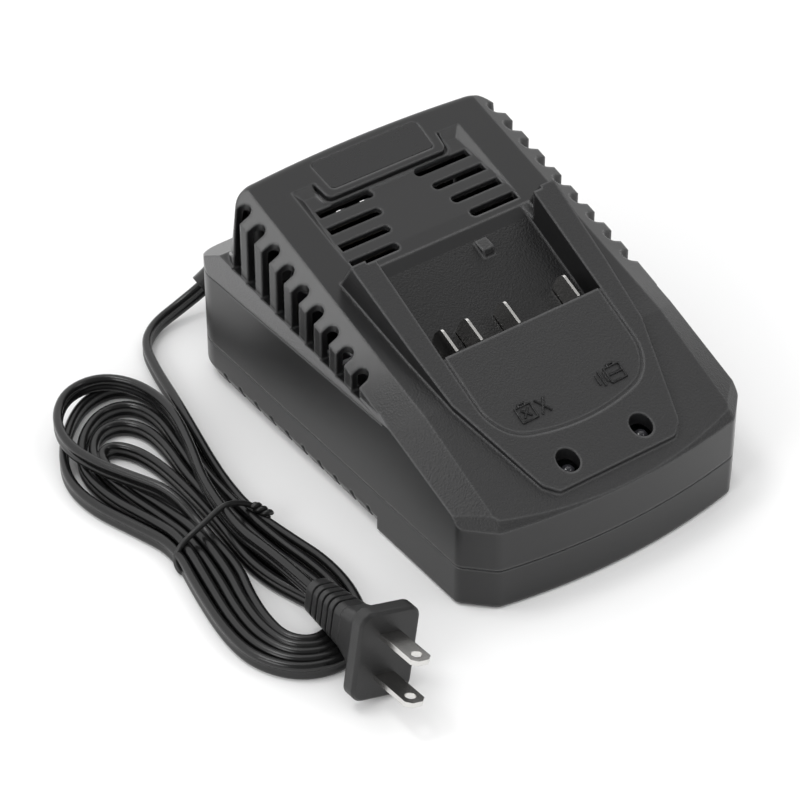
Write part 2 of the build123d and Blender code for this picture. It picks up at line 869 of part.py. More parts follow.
def led_holder(side):
    """Seat below a lamp, on a post that stands beside it on the board."""
    x = side * well_x
    seat = (led_base - 2, led_base)
    form = pin(x, well_behind + 3.4, 1.2, board_z, led_base - 2) + pin(x, well_behind, 3.0, *seat)
    return form + block((x - 1.2, x + 1.2), (well_behind, well_behind + 4), seat)


def status_led(side):
    x = side * well_x
    radius = led_radius - 0.4
    body = pin(x, well_behind, radius, led_base, led_top - led_radius)
    return body + Pos(x, y_at(well_behind), led_top - led_radius) * Sphere(radius)


# housing
upper = upper_shell() - gland_rod(-12, 14, gland_radius)
lower = lower_tray()
plate = below(plate_slab(), slope_plane(fold_behind, fold_z, rear_slope))
feet = [pin(x, behind, foot_radius - 0.1, 0, foot_height + foot_seat) for x, behind in foot_places()]
house_screws = [
    pin(x, behind, head_radius, head_z - head_height, head_z)
    + pin(x, behind, screw_radius - 0.1, head_z - 0.5, parting_z + 12)
    for x, behind in boss_places()
]

# contacts
blades = [blade(x) for x in blade_x]
carrier = contact_block()
carrier_screws = [
    pin(x, 54, 1.2, 38.0, 43.0) + pin(x, 54, 2.2, 36.2, 38.2) - carrier for x in carrier_screw_x
]
contact_leads = [pin(x, 56, 0.9, board_z, 39.3) - carrier for x in blade_x]
contact_leads = [c.solids().sort_by(SortBy.VOLUME)[-1] for c in contact_leads]

# cord, hank, tie and plug
gland = gland_rod(0, 2, gland_flange) + gland_rod(2, gland_length, gland_radius + 0.5, taper=5)
gland = gland + gland_rod(-7, 8, gland_radius) - gland_rod(-9, 30, cord_radius + 0.05) - upper
lead = cord_tube(lead_points)
tail = cord_tube(tail_points)
face_at = (plug_face[0], y_at(plug_face[1]), plug_face[2])
plug_front = Plane(origin=face_at, x_dir=plug_side, z_dir=plug_axis)
plug = plug_form()
relief = relief_form() - tail
plug_pins = [plug_pin(side) for side in (1, -1)]
tie = tie_form()
hank = hank_form() - lead - tail - plug - relief
tie_half = tie_width / 2
tie_path = block((-125, -60), (tie_behind - tie_half, tie_behind + tie_half), (-1, 30))
hank = hank - (tie_path - tie_loop(0)) - tie
tie = tie - tail - lead

# board and what stands on it
core, winding = transformer()
main_can = pin(-26, 106, 10, board_z, board_z + 34)
main_can = fillet(main_can.edges().group_by(Axis.Z)[-1], 1.0)
clamp, clamp_screws = cord_clamp()
mains_leads = [
    rod((gland_x + d, y_at(130), gland_z), (gland_x + 2 * d, y_at(120), board_z), 0.9) for d in (-1.3, 1.3)
]
trim = block((-60, 0), (100, 130), (0, board_z)) + block((-60, 0), (130, 140), (0, 40))
mains_leads = [wire - trim for wire in mains_leads]

pieces = {
    "upper_housing": upper,
    "lower_housing": lower,
    "nameplate": plate,
    "rubber_feet": feet,
    "housing_screws": house_screws,
    "contact_carrier": carrier,
    "contact_negative": blades[0],
    "contact_temperature": blades[1],
    "contact_coding": blades[2],
    "contact_positive": blades[3],
    "carrier_screws": carrier_screws,
    "status_leds": [status_led(side) for side in (1, -1)],
    "led_holders": [led_holder(side) for side in (1, -1)],
    "circuit_board": circuit_board(),
    "board_screws": [
        pin(x, behind, 2.4, board_z, board_z + 1.6) + pin(x, behind, 1.1, tray_floor + 2, board_z + 1)
        for x, behind in post_places()
    ],
    "transformer_core": core,
    "transformer_winding": winding,
    "mains_capacitor": main_can,
    "output_capacitors": [pin(22, behind, 6, board_z, board_z + 24) for behind in (100, 114)],
    "primary_heat_sink": heat_sink(-1),
    "output_heat_sink": heat_sink(1),
    "power_transistor": tab_device(-1),
    "rectifier_diode": tab_device(1),
    "mains_fuse": mains_fuse(),
    "line_choke": Pos(4, y_at(114), board_z + 3.5) * Torus(7, 3.5),
    "line_filter_capacitor": block((-4, 14), (94, 101), (board_z, board_z + 13)),
    "bridge_rectifier": block((-18, -3), (32, 37), (board_z, board_z + 12)),
    "controller_chip": block((9, 19), (27, 33), (board_z, board_z + 2.2)),
    "contact_leads": contact_leads,
    "mains_leads": mains_leads,
    "strain_relief": gland,
    "cord_clamp": clamp,
    "clamp_screws": clamp_screws,
    "cord_lead": lead,
    "cord_hank": hank,
    "cord_tail": tail,
    "cord_tie": tie,
    "plug_body": plug,
    "plug_relief": relief,
    "plug_blades": plug_pins,
}
for name, shape in pieces.items():
    if isinstance(shape, list):
        shape = Compound([solid for item in shape for solid in item.solids()])
    export_step(shape, f"parts/{name}.step")
    print(name, len(shape.solids()), round(shape.volume), shape.is_valid)
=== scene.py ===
import json
import math

import bpy
from mathutils import Matrix, Vector


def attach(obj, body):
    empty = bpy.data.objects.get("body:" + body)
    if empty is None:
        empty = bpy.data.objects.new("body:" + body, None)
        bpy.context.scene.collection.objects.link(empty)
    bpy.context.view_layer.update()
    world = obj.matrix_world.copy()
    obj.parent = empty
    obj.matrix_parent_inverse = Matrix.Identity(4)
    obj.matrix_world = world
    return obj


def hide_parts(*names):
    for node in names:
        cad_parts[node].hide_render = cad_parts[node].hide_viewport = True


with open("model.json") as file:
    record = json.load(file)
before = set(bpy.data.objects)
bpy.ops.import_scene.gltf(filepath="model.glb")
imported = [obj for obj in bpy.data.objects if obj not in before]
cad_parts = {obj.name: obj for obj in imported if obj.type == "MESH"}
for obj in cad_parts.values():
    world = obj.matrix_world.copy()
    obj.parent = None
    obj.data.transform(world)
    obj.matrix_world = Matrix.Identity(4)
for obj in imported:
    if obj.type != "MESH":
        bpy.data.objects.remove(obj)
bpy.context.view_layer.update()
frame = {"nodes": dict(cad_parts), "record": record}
nodes = frame["nodes"]
scene = bpy.context.scene
print("frame loaded,", len(nodes), "nodes")

mm = 0.001
frontLine = -69.3


# a point in millimetres, its depth counted back from the front corners
def place(x, behind, z):
    return Vector((x * mm, (frontLine + behind) * mm, z * mm))


# angles in degrees: turned about the upright, tilted down, rolled about the view
camera = {
    "at": (-451.908, -523.716, 623.429),
    "turn": -35.722,
    "down": 39.497,
    "roll": -0.098,
    "lens": 147.4,
    "sensor": 36.0,
    "farEnd": 20.0,
}
turn = math.radians(camera["turn"])
down = math.radians(camera["down"])
look = Vector((-math.sin(turn) * math.cos(down), math.cos(turn) * math.cos(down), -math.sin(down)))
cameraData = bpy.data.cameras.new("camera")
cameraData.lens = camera["lens"]
cameraData.sensor_width = camera["sensor"]
cameraData.clip_end = camera["farEnd"]
cameraObject = bpy.data.objects.new("camera", cameraData)
scene.collection.objects.link(cameraObject)
facing = look.to_track_quat("-Z", "Y").to_matrix().to_4x4()
facing = facing @ Matrix.Rotation(math.radians(camera["roll"]), 4, "Z")
facing.translation = place(*camera["at"])
cameraObject.matrix_world = facing
scene.camera = cameraObject
scene.view_settings.view_transform = "Standard"
print("camera set")


# one output of a node, it takes part in sums, products and comparisons
class Socket:
    def __init__(self, owner, output):
        self.owner = owner
        self.output = output

    def maths(self, kind, *values):
        return self.owner.add("ShaderNodeMath", dict(enumerate(values)), operation=kind)

    def __add__(self, other):
        return self.maths("ADD", self, other)

    def __radd__(self, other):
        return self.maths("ADD", other, self)

    def __sub__(self, other):
        return self.maths("SUBTRACT", self, other)

    def __rsub__(self, other):
        return self.maths("SUBTRACT", other, self)

    def __mul__(self, other):
        return self.maths("MULTIPLY", self, other)

    def __rmul__(self, other):
        return self.maths("MULTIPLY", other, self)

    def __gt__(self, other):
        return self.maths("GREATER_THAN", self, other)

    def __lt__(self, other):
        return self.maths("LESS_THAN", self, other)

    def __abs__(self):
        return self.maths("ABSOLUTE", self)

    def sine(self):
        return self.maths("SINE", self)

    def cosine(self):
        return self.maths("COSINE", self)

    def atMost(self, other):
        return self.maths("MINIMUM", self, other)

    # one axis of a vector
    def part(self, axis):
        return self.owner.add("ShaderNodeSeparateXYZ", {0: self}, output=axis)

    # 0 at the first value, 1 at the second, and smooth between them
    def rise(self, first, second):
        inputs = {"Value": self, "From Min": first, "From Max": second}
        return self.owner.add("ShaderNodeMapRange", inputs, interpolation_type="SMOOTHSTEP")


# a node tree, each node comes from add: its settings first, then its sockets
class Tree:
    def __init__(self, tree):
        self.tree = tree

    def add(self, kind, inputs=None, output=0, **settings):
        node = self.tree.nodes.new(kind)
        for key, value in settings.items():
            setattr(node, key, value)
        for key, value in (inputs or {}).items():
            self.feed(node.inputs[key], value)
        return Socket(self, node.outputs[output]) if node.outputs else None

    def feed(self, slot, value):
        if isinstance(value, Socket):
            self.tree.links.new(value.output, slot)
        elif slot.type == "RGBA":
            slot.default_value = (*value, 1.0)
        else:
            slot.default_value = value


# a material round its principled shader
class Surface(Tree):
    def __init__(self, name):
        self.material = bpy.data.materials.new(name)
        self.material.use_nodes = True
        super().__init__(self.material.node_tree)
        self.main = self.tree.nodes["Principled BSDF"]

    # object coordinates, in metres
    def where(self):
        return self.add("ShaderNodeTexCoord", output="Object")

    # the direction that a face looks in
    def tilt(self):
        return self.add("ShaderNodeNewGeometry", output="Normal")

    def noise(self, scale, detail=2.0, stretch=(1.0, 1.0, 1.0)):
        spot = self.add("ShaderNodeMapping", {"Vector": self.where(), "Scale": stretch})
        return self.add("ShaderNodeTexNoise", {"Vector": spot, "Scale": scale, "Detail": detail})

    def cells(self, scale, smooth):
        inputs = {"Vector": self.where(), "Scale": scale, "Smoothness": smooth}
        return self.add("ShaderNodeTexVoronoi", inputs, feature="SMOOTH_F1")

    def spread(self, value, low, high):
        return self.add("ShaderNodeMapRange", {"Value": value, "To Min": low, "To Max": high})

    # the mix node's colour sockets are its seventh and eighth
    def blend(self, share, first, second):
        inputs = {0: share, 6: first, 7: second}
        return self.add("ShaderNodeMix", inputs, output=2, data_type="RGBA")

    def bump(self, height, strength, distance, normal):
        inputs = {"Height": height, "Strength": strength, "Distance": distance, "Normal": normal}
        return self.add("ShaderNodeBump", inputs)

    # the direction of a face whose edges are rounded by radius
    def softEdge(self, radius):
        return self.add("ShaderNodeBevel", {"Radius": radius}, samples=4)

    # 1 along an edge, where the rounded direction leaves the face's own, and 0 on the face: it
    # drives a painted highlight in the colour and a rubbed polish in the roughness
    def wearAndHighlightEdge(self, soft, reach):
        inputs = {0: soft, 1: self.tilt()}
        same = self.add("ShaderNodeVectorMath", inputs, output="Value", operation="DOT_PRODUCT")
        return ((1.0 - same) * reach).atMost(1.0)

    def give(self, **values):
        names = {
            "colour": "Base Color",
            "roughness": "Roughness",
            "metallic": "Metallic",
            "specular": "Specular IOR Level",
            "normal": "Normal",
            "clear": "Transmission Weight",
            "index": "IOR",
        }
        for key, value in values.items():
            self.feed(self.main.inputs[names[key]], value)


def shaded(colour, share):
    return tuple(share * part for part in colour)


# places and sizes in millimetres, noise scales per metre, tilts as parts of a unit direction
housing = {
    "dark": (0.0065, 0.0065, 0.0068),
    "light": (0.0100, 0.0100, 0.0104),
    "cloudScale": 26.0,
    "cloudRoughness": 0.05,
    "smoothRoughness": 0.30,
    "specular": 0.5,
    "grain": (0.021, 0.021, 0.0215),
    "grainRoughness": 0.50,
    "grainScale": 1700.0,
    "grainSoftness": 0.6,
    "grainDepth": 0.22,
    "grainBump": 0.6,
    "grainUp": 0.35,  # least upward tilt of a grained face
    "speckScale": 2600.0,
    "speckShare": 0.6,
    "fineScale": 6200.0,
    "fineShare": 0.10,
    "edgeRadius": 1.1,
    # painted highlight: the lighter colour that edges take
    "edgeHighlight": (0.075, 0.075, 0.076),
    "wearAndHighlightReach": 13.0,
    "wornPolish": 0.14,
    "foldAt": 34.9,  # where the front top folds up into the rear slope
    "foldHeight": 45.95,
    "rearRise": 0.2837,
    "fadeAhead": 4.0,
    "fadeBehind": 22.0,
    "step": 0.4,  # height that tells the shoe and the island from the slope
    "islandGrain": 0.6,
    "shoeHalf": 27.7,
    "shoeEnd": 84.0,
    # painted reflection: the lighter colour of the sideways strip at the foot of the tower
    "paintedReflectionStrip": (0.105, 0.105, 0.106),
    "stripGrain": 0.8,
    "stripLow": 38.4,
    "stripSide": (0.70, 0.90),
    "stripUp": (0.08, 0.16),
    "stripLean": 0.45,
}


# satin mould finish, with a leather grain on the front top, the shoe and the strip; the strip's
# lighter colour is a painted reflection and the edges' lighter colour a painted highlight
def housingSurface():
    s = Surface("housing_plastic")
    x, y, z = (s.where().part(axis) for axis in "XYZ")
    sideTilt, upTilt = (s.tilt().part(axis) for axis in "XZ")
    behind = y - frontLine * mm
    slope = (behind - housing["foldAt"] * mm) * housing["rearRise"] + housing["foldHeight"] * mm
    up = upTilt > housing["grainUp"]
    front = behind.rise(
        (housing["foldAt"] + housing["fadeBehind"]) * mm,
        (housing["foldAt"] - housing["fadeAhead"]) * mm,
    )
    between = (abs(x) < housing["shoeHalf"] * mm) * (behind < housing["shoeEnd"] * mm)
    shoe = between * ((slope - z) > housing["step"] * mm)
    island = (z - slope) > housing["step"] * mm
    # the strip is found by its sideways facing direction, its lighter colour is a painted
    # reflection
    sideways = abs(sideTilt).rise(*housing["stripSide"]) * upTilt.rise(*housing["stripUp"])
    paintedReflectionStrip = sideways * (upTilt < housing["stripLean"]) * (z > housing["stripLow"] * mm)
    grainedTop = up * (front + shoe + island * housing["islandGrain"])
    grained = (grainedTop + paintedReflectionStrip * housing["stripGrain"]).atMost(1.0)
    paler = (up * (front + island)).atMost(1.0)
    specks = s.noise(housing["speckScale"], detail=3.0) * housing["speckShare"]
    grain = s.cells(housing["grainScale"], housing["grainSoftness"]) + specks
    height = grain * grained + s.noise(housing["fineScale"]) * housing["fineShare"]
    clouds = s.noise(housing["cloudScale"], detail=3.0)
    soft = s.softEdge(housing["edgeRadius"] * mm)
    # along edges a painted highlight lightens the colour, and rubbed wear makes them smoother
    edge = s.wearAndHighlightEdge(soft, housing["wearAndHighlightReach"])
    plain = s.blend(clouds, housing["dark"], housing["light"])
    # the strip takes a painted reflection colour over the grain and plain colours
    colour = s.blend(paintedReflectionStrip, s.blend(paler, plain, housing["grain"]), housing["paintedReflectionStrip"])
    roughness = s.spread(grained, housing["smoothRoughness"], housing["grainRoughness"])
    roughness = roughness + (clouds - 0.5) * housing["cloudRoughness"]
    s.give(
        # the edges' lighter colour is a painted highlight
        colour=s.blend(edge, colour, housing["edgeHighlight"]),
        roughness=roughness - edge * housing["wornPolish"],
        specular=housing["specular"],
        normal=s.bump(height, housing["grainBump"], housing["grainDepth"] * mm, soft),
    )
    return s.material


plastic = {"cloudScale": 40.0, "sheenScale": 240.0, "smoother": 0.05, "rougher": 0.06, "bump": 0.5}


# moulded or coated plastic and rubber in one colour range
def plasticSurface(name, dark, light, roughness, depth=0.04, scale=3000.0, edge=0.4):
    s = Surface(name)
    clouds = s.noise(plastic["cloudScale"], detail=3.0)
    sheen = s.noise(plastic["sheenScale"], detail=3.0)
    s.give(
        colour=s.blend(clouds, dark, light),
        roughness=s.spread(sheen, roughness - plastic["smoother"], roughness + plastic["rougher"]),
        normal=s.bump(s.noise(scale), plastic["bump"], depth * mm, s.softEdge(edge * mm)),
    )
    return s.material


metal = {
    "cloudScale": 60.0,
    "shade": 0.84,
    "smoothest": 0.8,
    "roughest": 1.3,
    "bump": 0.12,
    "depth": 0.02,
    "edge": 0.2,
}


# metal with fine drawn lines, they run along the axis that is stretched least
def metalSurface(name, colour, roughness, stretch=(20.0, 900.0, 900.0)):
    s = Surface(name)
    clouds = s.noise(metal["cloudScale"])
    lines = s.noise(1.0, detail=3.0, stretch=stretch)
    soft = s.softEdge(metal["edge"] * mm)
    s.give(
        colour=s.blend(clouds, colour, shaded(colour, metal["shade"])),
        metallic=1.0,
        roughness=s.spread(lines, roughness * metal["smoothest"], roughness * metal["roughest"]),
        normal=s.bump(lines, metal["bump"], metal["depth"] * mm, soft),
    )
    return s.material


clear = {
    "cloudScale": 90.0,
    "shade": 0.92,
    "index": 1.5,
    "sheenScale": 300.0,
    "smoothest": 0.7,
    "roughest": 1.5,
}


# glass and clear plastic, share is how much light goes through
def clearSurface(name, colour, share, roughness=0.06):
    s = Surface(name)
    clouds = s.noise(clear["cloudScale"])
    sheen = s.noise(clear["sheenScale"])
    s.give(
        colour=s.blend(clouds, colour, shaded(colour, clear["shade"])),
        clear=share,
        index=clear["index"],
        roughness=s.spread(sheen, roughness * clear["smoothest"], roughness * clear["roughest"]),
    )
    return s.material


# one finish for each material slot of the frame
finishes = {
    "housing_black": housingSurface(),
    "plate_black": plasticSurface(
        "plate_plastic", (0.005, 0.005, 0.0054), (0.007, 0.007, 0.0075), 0.26
    ),
    "feet_rubber": plasticSurface(
        "feet_rubber", (0.012, 0.012, 0.012), (0.02, 0.02, 0.02), 0.8
    ),
    "screw_steel": metalSurface("screw_steel", (0.50, 0.50, 0.51), 0.30),
    "carrier_plastic": plasticSurface(
        "carrier_plastic", (0.010, 0.010, 0.010), (0.02, 0.02, 0.02), 0.55
    ),
    "contact_nickel": metalSurface(
        "contact_nickel", (0.72, 0.71, 0.69), 0.20, (700.0, 40.0, 40.0)
    ),
    "led_clear": clearSurface("led_lens", (0.035, 0.035, 0.04), 0.25, 0.10),
    "holder_plastic": plasticSurface(
        "holder_plastic", (0.008, 0.008, 0.008), (0.012, 0.012, 0.012), 0.6
    ),
    "board_green": plasticSurface(
        "board_mask", (0.008, 0.03, 0.014), (0.012, 0.045, 0.02), 0.35
    ),
    "ferrite": plasticSurface("ferrite", (0.03, 0.03, 0.033), (0.05, 0.05, 0.053), 0.6),
    "winding_tape": plasticSurface(
        "winding_tape", (0.24, 0.18, 0.03), (0.30, 0.22, 0.04), 0.4
    ),
    "can_sleeve": plasticSurface(
        "can_sleeve", (0.008, 0.008, 0.010), (0.012, 0.012, 0.014), 0.4
    ),
    "sink_aluminium": metalSurface("sink_aluminium", (0.70, 0.70, 0.71), 0.35),
    "device_black": plasticSurface(
        "device_epoxy", (0.012, 0.012, 0.012), (0.02, 0.02, 0.02), 0.45
    ),
    "fuse_glass": clearSurface("fuse_glass", (0.86, 0.88, 0.88), 0.85),
    "film_yellow": plasticSurface(
        "film_yellow", (0.30, 0.21, 0.03), (0.36, 0.26, 0.04), 0.45
    ),
    "lead_rubber": plasticSurface(
        "lead_rubber", (0.015, 0.015, 0.015), (0.022, 0.022, 0.022), 0.5
    ),
    "cord_black": plasticSurface(
        "cord_vinyl", (0.0045, 0.0045, 0.0046), (0.007, 0.007, 0.0071), 0.23,
        depth=0.03, scale=1800.0,
    ),
    "tie_black": plasticSurface(
        "tie_vinyl", (0.008, 0.008, 0.008), (0.011, 0.011, 0.011), 0.34
    ),
    "plug_black": plasticSurface(
        "plug_vinyl", (0.010, 0.010, 0.0102), (0.014, 0.014, 0.0142), 0.42,
        depth=0.08, scale=1700.0, edge=0.7,
    ),
}
slotOf = {part["node"]: part["material_slot"] for part in frame["record"]["subparts"]}
for name, node in nodes.items():
    node.data.materials.clear()
    node.data.materials.append(finishes[slotOf[name]])
print("surfaces made,", len(finishes))


# a node tree for shapes: its labels are inputs, keys holds the identifier of each, and it
# ends in real geometry of one material
class ShapeTree(Tree):
    def __init__(self, name, *labels):
        super().__init__(bpy.data.node_groups.new(name, "GeometryNodeTree"))
        face = self.tree.interface
        face.new_socket("Shape", in_out="INPUT", socket_type="NodeSocketGeometry")
        face.new_socket("Shape", in_out="OUTPUT", socket_type="NodeSocketGeometry")
        kinds = {**{label: "NodeSocketFloat" for label in labels}, "Material": "NodeSocketMaterial"}
        self.keys = {}
        for label, kind in kinds.items():
            socket = face.new_socket(label, in_out="INPUT", socket_type=kind)
            self.keys[label] = socket.identifier

    def input(self, label):
        return self.add("NodeGroupInput", output=label)

    def finish(self, shape):
        real = self.add("GeometryNodeRealizeInstances", {0: shape})
        inputs = {"Geometry": real, "Material": self.input("Material")}
        self.add("NodeGroupOutput", {0: self.add("GeometryNodeSetMaterial", inputs)})


# a plain mesh piece from a start mesh and a tree with its values
def grow(name, startMesh, shapeTree, values, slotName):
    holder = bpy.data.objects.new(name + "_start", startMesh)
    scene.collection.objects.link(holder)
    step = holder.modifiers.new("shape", "NODES")
    step.node_group = shapeTree.tree
    for label, value in {**values, "Material": finishes[slotName]}.items():
        step[shapeTree.keys[label]] = value
    bpy.context.view_layer.update()
    seen = holder.evaluated_get(bpy.context.evaluated_depsgraph_get())
    mesh = bpy.data.meshes.new_from_object(seen)
    mesh.name = name
    holder.modifiers.remove(step)
    bpy.data.objects.remove(holder)
    piece = bpy.data.objects.new(name, mesh)
    scene.collection.objects.link(piece)
    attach(piece, "root")
    print(name, len(mesh.polygons), "faces")
    return piece


# edges along one or more runs of points
def lineMesh(name, *runs):
    vertices, edges = [], []
    for run in runs:
        first = len(vertices)
        vertices += run
        edges += [(k, k + 1) for k in range(first, len(vertices) - 1)]
    mesh = bpy.data.meshes.new(name)
    mesh.from_pydata(vertices, edges, [])
    return mesh


ringPoints = 28
halfRing = 0.499  # a little under a half, so the middle point starts the second core


# a tube along a line: one round core, or two side by side where tall is more than thick,
# each cut off by the groove's angle where they meet
def sweepTree():
    t = ShapeTree("sweep", "Tall", "Thick", "Groove", "Taper")
    groove = t.input("Groove")
    radius = t.input("Thick") * 0.5
    shift = (t.input("Tall") - t.input("Thick")) * 0.5
    ring = t.add("GeometryNodeCurvePrimitiveCircle", {"Resolution": ringPoints, "Radius": 1.0})
    share = t.add("GeometryNodeSplineParameter")
    second = share > halfRing
    angle = (share * 2.0 - second) * (groove * 2.0 + math.pi) - groove + second * math.pi
    across = angle.cosine() * radius
    along = angle.sine() * radius + shift * (1.0 - second * 2.0)
    outline = t.add("ShaderNodeCombineXYZ", {0: across, 1: along})
    profile = t.add("GeometryNodeSetPosition", {"Geometry": ring, "Position": outline})
    run = t.add("GeometryNodeMeshToCurve", {"Mesh": t.input("Shape")})
    run = t.add("GeometryNodeSetCurveNormal", {"Curve": run}, mode="Z_UP")
    size = t.add("GeometryNodeSplineParameter") * (t.input("Taper") - 1.0) + 1.0
    run = t.add("GeometryNodeSetCurveRadius", {"Curve": run, "Radius": size})
    inputs = {"Curve": run, "Profile Curve": profile, "Fill Caps": True}
    tube = t.add("GeometryNodeCurveToMesh", inputs)
    t.finish(t.add("GeometryNodeSetShadeSmooth", {"Geometry": tube}))
    return t


# square bars along every edge of a line drawing
def signTree():
    t = ShapeTree("sign", "Wide", "High")
    inputs = {"Width": t.input("High"), "Height": t.input("Wide")}
    bar = t.add("GeometryNodeCurvePrimitiveQuadrilateral", inputs)
    run = t.add("GeometryNodeMeshToCurve", {"Mesh": t.input("Shape")})
    run = t.add("GeometryNodeSetCurveNormal", {"Curve": run}, mode="Z_UP")
    inputs = {"Curve": run, "Profile Curve": bar, "Fill Caps": True}
    t.finish(t.add("GeometryNodeCurveToMesh", inputs))
    return t


sweep = sweepTree()
signShape = signTree()
lineSteps = 6
print("shape trees made")


# points read from a NURBS curve that has the given points as its control points
def smoothLine(name, points):
    curve = bpy.data.curves.new(name, "CURVE")
    curve.dimensions = "3D"
    spline = curve.splines.new("NURBS")
    spline.points.add(len(points) - 1)
    for target, point in zip(spline.points, points):
        target.co = (*point, 1.0)
    spline.order_u = 3
    spline.use_endpoint_u = True
    curve.resolution_u = lineSteps
    holder = bpy.data.objects.new(name, curve)
    scene.collection.objects.link(holder)
    bpy.context.view_layer.update()
    seen = holder.evaluated_get(bpy.context.evaluated_depsgraph_get())
    mesh = bpy.data.meshes.new_from_object(seen)
    line = [vertex.co.copy() for vertex in mesh.vertices]
    bpy.data.objects.remove(holder)
    bpy.data.curves.remove(curve)
    bpy.data.meshes.remove(mesh)
    return line


# millimetres and radians, the waist is where the tie holds the strands side by side
cord = {
    "width": 5.6,
    "thick": 2.8,
    "groove": 0.9,
    "waistBehind": 71.0,
    "waistRight": -76.9,
    "waistStep": 2.55,
    "waistReach": 15.0,
    "low": 2.9,
    "stagger": 1.4,
    "over": 8.7,
}
leadPoints = [
    (-22.0, 147.0, 19.5),
    (-22.0, 159.0, 19.5),
    (-33.0, 160.5, 10.0),
    (-43.0, 161.5, 5.0),
    (-53.0, 160.0, 3.1),
    (-60.5, 153.5, 2.9),
    (-64.2, 141.0, 2.9),
    (-67.0, 126.0, 2.9),
    (-70.6, 110.0, 2.9),
    (-73.8, 96.0, 2.9),
    (-75.8, 84.5, 2.9),
]
tailPoints = [(-87.2, 62.0, 8.4), (-85.9, 49.0, 9.3), (-85.3, 37.0, 9.8), (-85.05, 25.34, 10.03)]
# the hank's turns by the spots that steer them, from waist to waist: the lower ones lie
# evenly between the outer and the inner, the upper ones fan out, and the last is on top
lowOuter = [
    (-73.8, 53), (-71.6, 42), (-71.9, 29), (-75.4, 17), (-82.6, 8.2),
    (-92.0, 5.4), (-102.6, 9.4), (-109.4, 20), (-110.2, 33), (-107.0, 52),
]
lowInner = [
    (-88.9, 54), (-87.6, 43), (-84.8, 34), (-82.2, 25.7), (-84.8, 17.8),
    (-92.6, 15.8), (-98.2, 21.6), (-98.4, 31), (-96.4, 42), (-92.8, 53),
]
highTurns = [
    [
        (-106.9, 85), (-111.8, 99), (-112.4, 111.5), (-108.3, 122.4), (-100.3, 133),
        (-89.7, 141.2), (-78.2, 142.2), (-71.2, 132.8), (-73.0, 115), (-78.2, 94),
    ],
    [
        (-102.5, 84), (-106.3, 97.5), (-107.0, 111.3), (-103.1, 121.3), (-96.7, 128.9),
        (-88.0, 133.7), (-79.3, 132), (-75.6, 122), (-77.9, 107), (-81.0, 88.5),
    ],
    [
        (-99.3, 85), (-101.9, 99.5), (-102.3, 113.2), (-99.1, 121), (-93.1, 126.4),
        (-86.1, 126), (-81.4, 119.6), (-80.9, 108.8), (-83.4, 93.5),
    ],
    [
        (-96.3, 86), (-98.9, 99), (-100.2, 110.4), (-98.6, 117.6), (-93.4, 118.6),
        (-89.0, 112.4), (-86.8, 102.5), (-86.4, 88),
    ],
    [
        (-93.8, 85.5), (-99.7, 97.8), (-105.2, 109.4), (-107.4, 122), (-103.4, 134),
        (-94.4, 142), (-82.8, 141.4), (-75.4, 131.6), (-73.8, 117), (-78.6, 99), (-84.5, 83),
    ],
]


# strand number k counts the runs under the tie from the right-hand side
def waistSpot(k):
    return (cord["waistRight"] - k * cord["waistStep"], cord["waistBehind"])


# runs stand on their narrow edge, and every second one rides up a little under the tie
def strandHeight(k, behind):
    near = math.exp(-(((behind - cord["waistBehind"]) / cord["waistReach"]) ** 2))
    return cord["low"] + cord["stagger"] * (k % 2) * near


def hankPoints():
    points = []
    turns = len(highTurns)
    half = len(lowOuter) // 2
    for number, high in enumerate(highTurns):
        leftNumber = 2 * turns - number
        share = number / (turns - 1)
        low = []
        for outer, inner in zip(lowOuter, lowInner):
            low.append(tuple(a + (b - a) * share for a, b in zip(outer, inner)))
        for x, behind in [waistSpot(number), *low[:half]]:
            points.append((x, behind, strandHeight(number, behind)))
        for x, behind in [*low[half:], waistSpot(leftNumber)]:
            points.append((x, behind, strandHeight(leftNumber, behind)))
        for index, (x, behind) in enumerate(high):
            k = leftNumber if index < len(high) / 2 else number + 1
            z = cord["over"] if number == turns - 1 else strandHeight(k, behind)
            points.append((x, behind, z))
    return points


route = leadPoints + hankPoints() + tailPoints
cordLine = smoothLine("mains_cord_line", [place(*spot) for spot in route])
mainsCord = grow("mains_cord", lineMesh("mains_cord_run", cordLine), sweep, {
    "Tall": cord["width"] * mm,
    "Thick": cord["thick"] * mm,
    "Groove": cord["groove"],
    "Taper": 1.0,
}, "cord_black")
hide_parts("cord_lead", "cord_hank", "cord_tail")

# tapered sleeve that the cord leaves the back wall through, it bends with the cord
sleeve = {"from": (-22.0, 144.0, 19.5), "length": 24.0, "thick": 8.8, "taper": 0.62}


# the first points of a line, one past the given length
def takeLine(points, length):
    taken, run = [points[0]], 0.0
    for a, b in zip(points, points[1:]):
        run += (b - a).length
        taken.append(b)
        if run > length:
            break
    return taken


sleeveLine = [place(*sleeve["from"]), *takeLine(cordLine, sleeve["length"] * mm)]
cordSleeve = grow("cord_sleeve", lineMesh("cord_sleeve_run", sleeveLine), sweep, {
    "Tall": sleeve["thick"] * mm,
    "Thick": sleeve["thick"] * mm,
    "Groove": 0.0,
    "Taper": sleeve["taper"],
}, "cord_black")
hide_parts("strain_relief")

